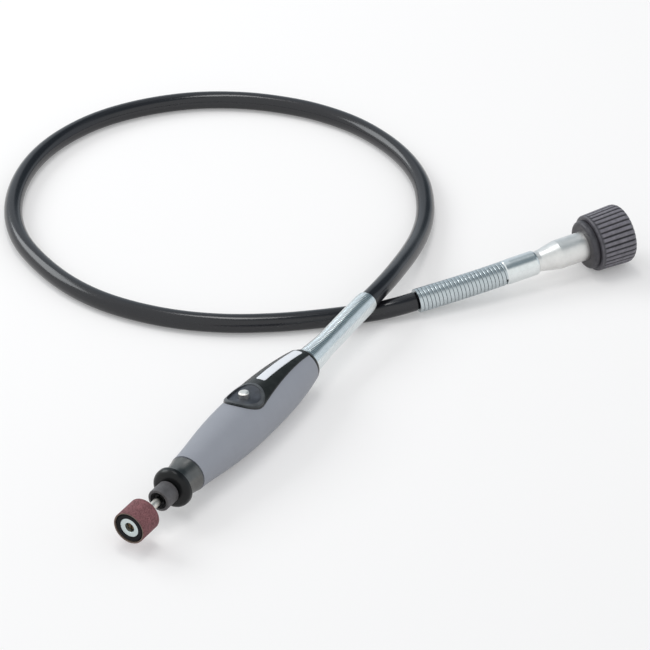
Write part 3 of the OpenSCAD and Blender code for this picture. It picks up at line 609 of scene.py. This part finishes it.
def coil(name, path, turns, outer, wire, look, rings=28, corner=1.0, sides=12, **more):
    """A spring round a cubic path, with its ends ground flat. outer(u) is its outside radius, wire
    its (width, depth), and rings the number of rings to a turn."""
    count = int(turns * rings)
    first, last = Vector(path[0]), Vector(path[3])
    outward = (first - Vector(path[1])).normalized(), (last - Vector(path[2])).normalized()
    section = wire_section(wire, corner, sides)
    points = []
    for i in range(count + 1):
        u = i / count
        angle = TAU * i / rings
        heading = (bezier(path, min(u + 0.01, 1)) - bezier(path, max(u - 0.01, 0))).normalized()
        side = Vector((0, 0, 1)).cross(heading).normalized()
        out = side * math.cos(angle) + heading.cross(side) * math.sin(angle)
        centre = bezier(path, u) + out * (outer(u) - wire[1] / 2)
        for outwards, along in section:
            point = centre + out * outwards + heading * along
            for end, away in zip((first, last), outward):
                point -= away * max(0, (point - end).dot(away) + END_GAP)
            points.append(point)
    return piece(name, points, tube_faces(count + 1, sides), "handpiece", look,
                 slot="spring_steel", **more)


# ---- Pieces

# CAD nodes whose visible finish is more particular than their slot's.
LOOKS = {
    "collet": "oiled_steel", "top_cover": "cover_plastic", "end_fitting": "barrel_steel",
    "crimp_sleeve": "sleeve_steel", "lock_button": "button_steel", "drum_screw": "dull_brass",
    "mandrel": "shank_steel",
}


def dress_cad():
    """Gives every CAD node the material of its slot, or its own."""
    slots = {row["node"]: row["material_slot"] for row in frame["record"]["subparts"]}
    for name, node in frame["nodes"].items():
        node.data.materials.clear()
        node.data.materials.append(MATERIALS[LOOKS.get(name, slots[name])])
        node.data.shade_smooth()
        node.data.set_sharp_from_angle(angle=math.radians(35))


def arc(x, r, radius, start, end, steps):
    """Points of an arc round (x, r), by angles in degrees."""
    made = []
    for i in range(steps + 1):
        a = math.radians(start + (end - start) * i / steps)
        made.append((x + radius * math.cos(a), r + radius * math.sin(a)))
    return made


def make_band():
    """Sanding band, whose cut ends and inside show the cloth."""
    wall, grit, edge = 0.6, 0.15, 0.22
    front, rear = BAND_FRONT_X, BAND_REAR_X
    outline = [(front, BAND_R - wall), (front, BAND_R, edge), (rear, BAND_R, edge),
               (rear, BAND_R - wall)]
    turned("abrasive_band", outline, "sanding_band", "abrasive", sides=160,
           replaces=("sanding_band",), finish_and_shade=lambda x, r: 1.0 if r < BAND_R - grit else 0.0)


def make_washer():
    """Clamping washer, with its cup for the screw's head."""
    low, high = span("drum_washer")
    rim, cup, cup_wall, floor = (high.z - low.z) / 2, 2.0, 0.7, 0.7
    hole, lip = 1.15, 0.25
    front, back, rear = low.x, low.x + 0.8, high.x
    outline = [(front, cup + lip, 0.2), (front, rim, 0.22), (back, rim, 0.1),
               (back, cup + cup_wall), (rear, cup + cup_wall), (rear, hole),
               (rear - floor, hole), (rear - floor, cup, 0.3), (front + lip, cup, 0.2)]
    turned("clamp_washer", outline, "mandrel", "zinc_plate", sides=128, replaces=("drum_washer",))


def make_nut():
    """Collet nut, with painted shade on the inside of its mouth."""
    front, rear = NUT_FRONT_X, NUT_REAR_X
    mouth, mouth_shade_r, bore = 3.7, 3.66, 3.0
    outline = [(front, mouth, 0.2), (front, NUT_R, 0.6), (rear, NUT_R, 0.45), (rear, bore),
               (front + 2.6, bore), (front + 1.4, 2.4)]
    # Points inside the mouth carry the painted shade.
    turned("collet_nut_body", outline, "collet_nut", "nut_steel", sides=128,
           replaces=("collet_nut",), finish_and_shade=lambda x, r: 1.0 if r < mouth_shade_r and x < front + 3 else 0.0)


def make_nose():
    """Nose cap: a rounded flange, a groove behind it, and a neck that flares to the grip."""
    flange, round_r, rim_w, neck, last = 8.5, 2.6, 1.2, 6.9, 7.8
    bore, spigot, spigot_bore = 3.8, 6.0, 5.2
    rim_x = NOSE_X + round_r
    rim_rear = rim_x + rim_w
    line = GRIP_FRONT_X - 0.5
    flare_x = GRIP_FRONT_X - 6.5
    third = (line - flare_x) / 3
    flare = [(flare_x, neck, 0), (flare_x + third, neck + 0.1, 0), (line - third, last - 0.35, 0),
             (line - 0.05, last, 0)]
    curve = [bezier(flare, i / 12) for i in range(13)]
    outline = [
        (NOSE_X, bore, 0.2), *arc(rim_x, flange - round_r, round_r, 180, 90, 14),
        (rim_rear - 0.5, flange), (rim_rear - 0.4, flange), (rim_rear, flange, 0.32),
        (rim_rear + 0.7, neck, 0.5), *((q.x, q.y) for q in curve), (line, last - 0.4),
        (GRIP_FRONT_X, last - 0.4), (GRIP_FRONT_X, spigot), (GRIP_FRONT_X + 4, spigot),
        (GRIP_FRONT_X + 4, spigot_bore), (GRIP_FRONT_X - 1, spigot_bore), (GRIP_FRONT_X - 1, bore),
    ]

    def gunmetal(x, r):
        return 1.0 if x > rim_rear - 0.35 and r > neck - 0.1 else 0.0

    turned("nose_cap_shell", outline, "handpiece", "nose_finish", sides=144, slot="black_plastic",
           replaces=("nose_cap",), finish_and_shade=gunmetal)


# The coupling nut, in the driver end's frame.
KNOB_REAR, KNOB_GAP, KNOB_FRONT = 39.9, 43.1, 60.7
KNOB_REAR_R, KNOB_FRONT_R, COLLAR_R = 12.6, 13.2, 10.8
KNOB_BORE_R, CAVITY_R = 6.5, 9.87
KNOB_RIBS, RIB_SIDES = 34, 12
GROOVE_DEPTH, GROOVE_HALF = 0.5, 0.27
THREAD_R, THREAD_FRONT, THREAD_REAR = 9.525, 60.3, 52.1
THREAD_PITCH, THREAD_DEPTH, THREAD_STEPS = 1.5875, 0.45, 38


def knob_rear():
    """(x, r) from the bore at the back, over the collar and its gap, to the ribs."""
    corner, edge = 1.4, 0.8
    line = [(KNOB_REAR, KNOB_BORE_R), (KNOB_REAR, 7.4), (KNOB_REAR, 8.6)]
    line += arc(KNOB_REAR + corner, COLLAR_R - corner, corner, 180, 90, 8)
    line += [(KNOB_GAP - 0.65, COLLAR_R), (KNOB_GAP - 0.5, COLLAR_R - 0.12),
             (KNOB_GAP - 0.45, COLLAR_R - 0.6), (KNOB_GAP, COLLAR_R - 0.6),
             (KNOB_GAP, COLLAR_R + 0.05), (KNOB_GAP, KNOB_REAR_R - 0.9)]
    return line + arc(KNOB_GAP + edge, KNOB_REAR_R - edge, edge, 165, 90, 5)


def knob_rows():
    """Rows (x, r, share of the grooves, share of the thread) of the nut's closed outline."""
    corner, steps = 3, 14
    start, end = KNOB_GAP + 0.9, KNOB_FRONT - corner
    rows = [(x, r, 0, 0) for x, r in knob_rear()]
    for i in range(steps + 1):
        u = i / steps
        x = start + (end - start) * u
        rows.append((x, KNOB_REAR_R + (KNOB_FRONT_R - KNOB_REAR_R) * u, min(1, x - start), 0))
    rows += [(x, r, 1 - 0.75 * i / 10, 0)
             for i, (x, r) in enumerate(arc(end, KNOB_FRONT_R - corner, corner, 90, 0, 10)[1:])]
    rows += [(KNOB_FRONT, THREAD_R + 0.45, 0, 0), (THREAD_FRONT, THREAD_R, 0, 0)]
    for i in range(THREAD_STEPS + 1):
        x = THREAD_FRONT + (THREAD_REAR - THREAD_FRONT) * i / THREAD_STEPS
        rows.append((x, THREAD_R, 0, min(1, i / 4, (THREAD_STEPS - i) / 4)))
    return rows + [(THREAD_REAR - 0.35, CAVITY_R, 0, 0), (KNOB_REAR + 4, CAVITY_R, 0, 0),
                   (KNOB_REAR + 4, KNOB_BORE_R, 0, 0)]


def knob_dust_and_shade(x, r, groove, dip):
    """Painted shade in the collar's gap, bore and grooves; dust and painted sheen on ribs and rear
    face.
    """
    in_gap = KNOB_GAP - 0.47 < x < KNOB_GAP + 0.1 and r < 10.5
    if in_gap or r < THREAD_R + 0.1:
        return 0.0
    rear_face = KNOB_GAP - 0.1 < x < KNOB_GAP + 0.6
    return max(0.0, (0.6 if rear_face else 0.4) + 0.6 * groove * (1 - 2 * dip))


def make_knob():
    """Coupling nut, with its ribs, collar and inside thread."""
    sides = KNOB_RIBS * RIB_SIDES
    rows = knob_rows()
    points, finish_and_shade = [], []
    for x, r, groove, thread in rows:
        for k in range(sides):
            angle = TAU * k / sides
            across = abs((k / RIB_SIDES) % 1 - 0.5)
            dip = 0.5 + 0.5 * math.cos(math.pi * min(1, across / GROOVE_HALF))
            ridge = abs(((x / THREAD_PITCH + angle / TAU) % 1) - 0.5) * 2
            radius = r - groove * GROOVE_DEPTH * dip - thread * THREAD_DEPTH * ridge
            points.append(DRIVER @ Vector((x, radius * math.cos(angle), radius * math.sin(angle))))
            finish_and_shade.append(knob_dust_and_shade(x, r, groove, dip))
    faces = grid_faces(len(rows), sides, True, True)
    return piece("coupling_nut_ribbed", points, faces, "coupling_nut", "knob_plastic",
                 replaces=("coupling_nut",), marks=finish_and_shade)


def cover_radius(x):
    """Radius of the cover's surface along the handpiece, on the CAD model's own steps."""
    front, peak, rear = GRIP_FRONT_X, GRIP_FRONT_X + 43, GRIP_REAR_X
    lip, tail, top, lift = 7.95, 7.7, 11.2, 0.5
    shoulder = top * 0.8 + 7.9 * 0.2
    first = [(front, lip, 0), (front + 10, lip + 0.25, 0), (front + 21, top, 0), (peak, top, 0)]
    second = [(peak, top, 0), (peak + 17, top, 0), (rear - 14, shoulder, 0), (rear, tail, 0)]
    line = [bezier(first, i / 10) for i in range(10)] + [bezier(second, i / 10) for i in range(11)]
    for a, b in zip(line, line[1:]):
        if a.x <= x <= b.x:
            return a.y + (b.y - a.y) * (x - a.x) / (b.x - a.x) + lift
    return tail + lift


LABEL_FRONT, LABEL_REAR = 32.8, 62.3
LABEL_HALF = 2.15
LABEL_CORNER = 0.5
# The plate's layers from its foot to its top: (height over the cover, inset of the outline).
LABEL_LAYERS = [(-0.3, 0.0), (0.12, 0.0), (0.2, 0.12)]


def label_layer(lift, inset, along, across):
    """The points of one layer of the label plate, bent to the cover."""
    layer = []
    for i in range(along + 1):
        x = LABEL_FRONT + inset + (LABEL_REAR - LABEL_FRONT - 2 * inset) * (i / along)
        end = min(x - LABEL_FRONT, LABEL_REAR - x) - inset
        half = LABEL_HALF - inset - LABEL_CORNER * max(0, 1 - end / LABEL_CORNER) ** 2
        r = cover_radius(x) + lift
        for j in range(across + 1):
            y = half * (2 * j / across - 1)
            layer.append(COVER @ Vector((x, y, math.sqrt(r * r - y * y))))
    return layer


def make_label():
    """The bare white plate on the cover, bent to it, with rounded corners and edges."""
    along, across = 48, 12
    points = []
    for lift, inset in LABEL_LAYERS:
        points += label_layer(lift, inset, along, across)
    columns = across + 1
    size = (along + 1) * columns
    border = list(range(columns))
    border += [i * columns + across for i in range(1, along + 1)]
    border += [along * columns + j for j in range(across - 1, -1, -1)]
    border += [i * columns for i in range(along - 1, 0, -1)]
    grid = grid_faces(along + 1, columns)
    faces = [tuple(2 * size + k for k in face) for face in grid]
    faces += [tuple(reversed(face)) for face in grid]
    for low, high in ((0, size), (size, 2 * size)):
        for a, b in zip(border, border[1:] + border[:1]):
            faces.append((low + a, low + b, high + b, high + a))
    piece("label_plate", points, faces, "handpiece", "label_white", slot="grip_grey")


def make_cable():
    """The cable from the casing socket to the end fitting, thinner where it is bare casing."""
    steps, stretch, socket_x = 26, 3, 54.2
    hand = [bezier(HAND_PATH, i / steps) for i in range(steps + 1)]
    driver = [bezier(DRIVER_PATH, i / steps) for i in range(steps + 1)]
    loop = smooth(LOOP_ROUTE, 8)
    start = [Vector((socket_x + i * stretch, 0, AXIS_Z)) for i in range(4)]
    ahead = DRIVER.to_3x3() @ Vector((1, 0, 0))
    end = [Vector(DRIVER_PATH[3]) + ahead * stretch * (i + 1) for i in range(4)]
    line = start + hand + loop[1:-1] + driver + end
    first = len(start) + steps
    last = first + len(loop) - 1

    def radius(i):
        return CABLE_D / 2 if first < i < last else CASING_D / 2

    cable = tube("flex_cable", line, radius, "handpiece", "jacket_rubber", sides=40,
                 replaces=("handpiece_casing", "cable_jacket", "driver_casing"))
    return cable, line


def hand_spring_r(u):
    """Tapers over its first third and closes in on the cable at its end."""
    taper = min(u / 0.3, 1)
    return (12.2 * (1 - taper) + 10 * taper) / 2 - 0.35 * max(0, (u - 0.93) / 0.07) ** 2


def make_springs():
    """The two guard springs, of flattened wire."""
    driver_r = 5.3
    hand = coil("handpiece_guard_spring", HAND_PATH, 49, hand_spring_r, (0.97, 0.75),
                "spring_steel", rings=36, corner=0.3, crease=12, replaces=("handpiece_spring",))
    driver = coil("driver_guard_spring", DRIVER_PATH, 23.5, lambda u: driver_r, (1.66, 1.4),
                  "dull_spring", rings=36, corner=0.25, sides=14, crease=12,
                  replaces=("driver_spring",))
    return hand, driver


def make_return_spring():
    """The lock button's spring, built at rest between the CAD spring's ends; the real one shortens
    as the button goes down.
    """
    radius, wire, turns, travel = 2.9, 0.3, 2, 1.6
    up = COVER.to_3x3() @ Vector((0, 0, 1))
    centre = COVER @ Vector((DISH_X, 0, 0))
    node = frame["nodes"]["lock_spring"]
    heights = [(node.matrix_world @ v.co / MM - centre).dot(up) for v in node.data.vertices]
    foot, head = centre + up * min(heights), centre + up * max(heights)
    line = [foot.lerp(head, i / 3) for i in range(4)]
    spring = coil("button_return_spring", line, turns, lambda u: radius, (wire, wire),
                  "spring_steel", sides=10, replaces=("lock_spring",))
    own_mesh(spring)


add_studio()
make_materials()
dress_cad()
cable, cable_line = make_cable()
springs = make_springs()
make_return_spring()
make_band()
make_washer()
make_nut()
make_nose()
knob = make_knob()
make_label()
[tuple(p * MM) for p in cable_line]
